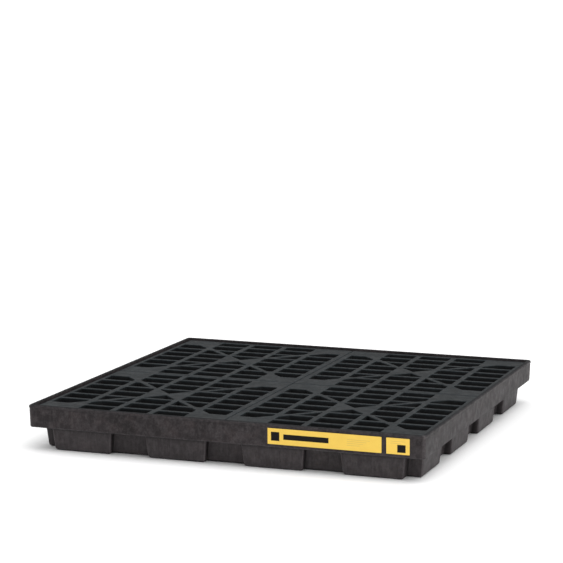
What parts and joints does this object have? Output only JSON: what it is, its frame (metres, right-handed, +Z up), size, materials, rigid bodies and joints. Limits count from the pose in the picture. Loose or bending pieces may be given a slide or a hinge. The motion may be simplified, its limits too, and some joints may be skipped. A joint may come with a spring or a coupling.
{
  "type": "spill containment pallet",
  "caption": "Low square containment tray with a corrugated thin-walled sump, drum deck of lift-out grates on hollow support columns, and two blank hazard-coloured labels.",
  "frame": {"origin": "middle of the tray's footprint, on the floor it stands on", "axes": "+X to the right along the labelled front face, +Y from the front to the back, +Z up"},
  "size_m": [1.245, 1.245, 0.14],
  "materials": {
    "tray_plastic": "matte recycled polyethylene, mottled dark grey",
    "grate_plastic": "matte moulded polyethylene, dark blue-grey",
    "column_plastic": "matte moulded polyethylene, black",
    "label_vinyl": "satin printed vinyl, yellow"
  },
  "bodies": {
    "tray": {"sump_tray": "tray_plastic", "column_front_left": "column_plastic", "column_front_centre": "column_plastic", "column_front_right": "column_plastic", "column_middle_left": "column_plastic", "column_middle_centre": "column_plastic", "column_middle_right": "column_plastic", "column_back_left": "column_plastic", "column_back_centre": "column_plastic", "column_back_right": "column_plastic", "label_long": "label_vinyl", "label_square": "label_vinyl"},
    "grate_front_left": {"grate_front_left": "grate_plastic"},
    "grate_front_right": {"grate_front_right": "grate_plastic"},
    "grate_back_left": {"grate_back_left": "grate_plastic"},
    "grate_back_right": {"grate_back_right": "grate_plastic"}
  },
  "joints": [
    {"name": "lift_front_left", "type": "slide", "parent": "tray", "child": "grate_front_left", "axis": [0, 0, 1], "range_m": [0, 0.12]},
    {"name": "lift_front_right", "type": "slide", "parent": "tray", "child": "grate_front_right", "axis": [0, 0, 1], "range_m": [0, 0.12]},
    {"name": "lift_back_left", "type": "slide", "parent": "tray", "child": "grate_back_left", "axis": [0, 0, 1], "range_m": [0, 0.12]},
    {"name": "lift_back_right", "type": "slide", "parent": "tray", "child": "grate_back_right", "axis": [0, 0, 1], "range_m": [0, 0.12]}
  ]
}
